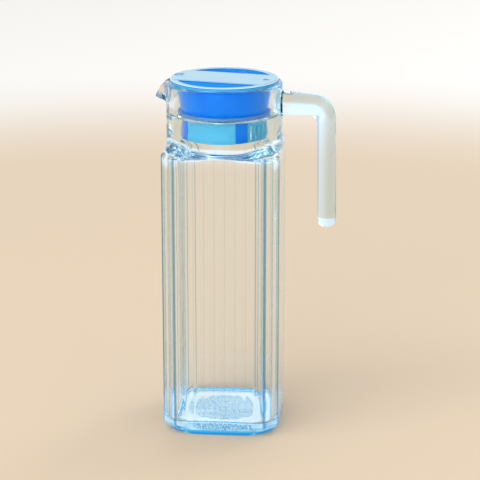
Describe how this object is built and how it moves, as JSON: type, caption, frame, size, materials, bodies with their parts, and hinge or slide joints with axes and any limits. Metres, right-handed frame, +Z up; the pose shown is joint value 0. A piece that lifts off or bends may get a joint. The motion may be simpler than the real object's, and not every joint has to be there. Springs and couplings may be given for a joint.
{
  "type": "glass serving jug",
  "caption": "Square glass jug with bevelled corners, round neck, drooping beak, open hook handle and a turning blue lid with grip bar, pour window and strainer.",
  "frame": {"origin": "centre of the jug's axis at the plane it stands on", "axes": "+Z up along the jug's axis, +X towards the handle, -X towards the beak"},
  "size_m": [0.1319, 0.085, 0.2607],
  "materials": {
    "clear_glass": "clear pressed glass, polished",
    "pale_blue_plastic": "glossy translucent plastic",
    "deep_blue_plastic": "glossy translucent plastic",
    "soft_seal": "soft translucent silicone"
  },
  "bodies": {
    "jug": {"jug_body": "clear_glass", "jug_neck": "clear_glass", "jug_handle": "clear_glass"},
    "seal": {"seal_ring": "soft_seal"},
    "lid": {"lid_cover": "pale_blue_plastic", "lid_cup": "deep_blue_plastic", "pour_skirt": "deep_blue_plastic", "strainer": "deep_blue_plastic"}
  },
  "joints": [
    {"name": "lid_lift", "type": "slide", "parent": "jug", "child": "seal", "axis": [0, 0, 1], "range_m": [0, 0.045]},
    {"name": "lid_turn", "type": "hinge", "parent": "seal", "child": "lid", "pos_m": [0, 0, 0.236], "axis": [0, 0, 1], "continuous": true}
  ]
}
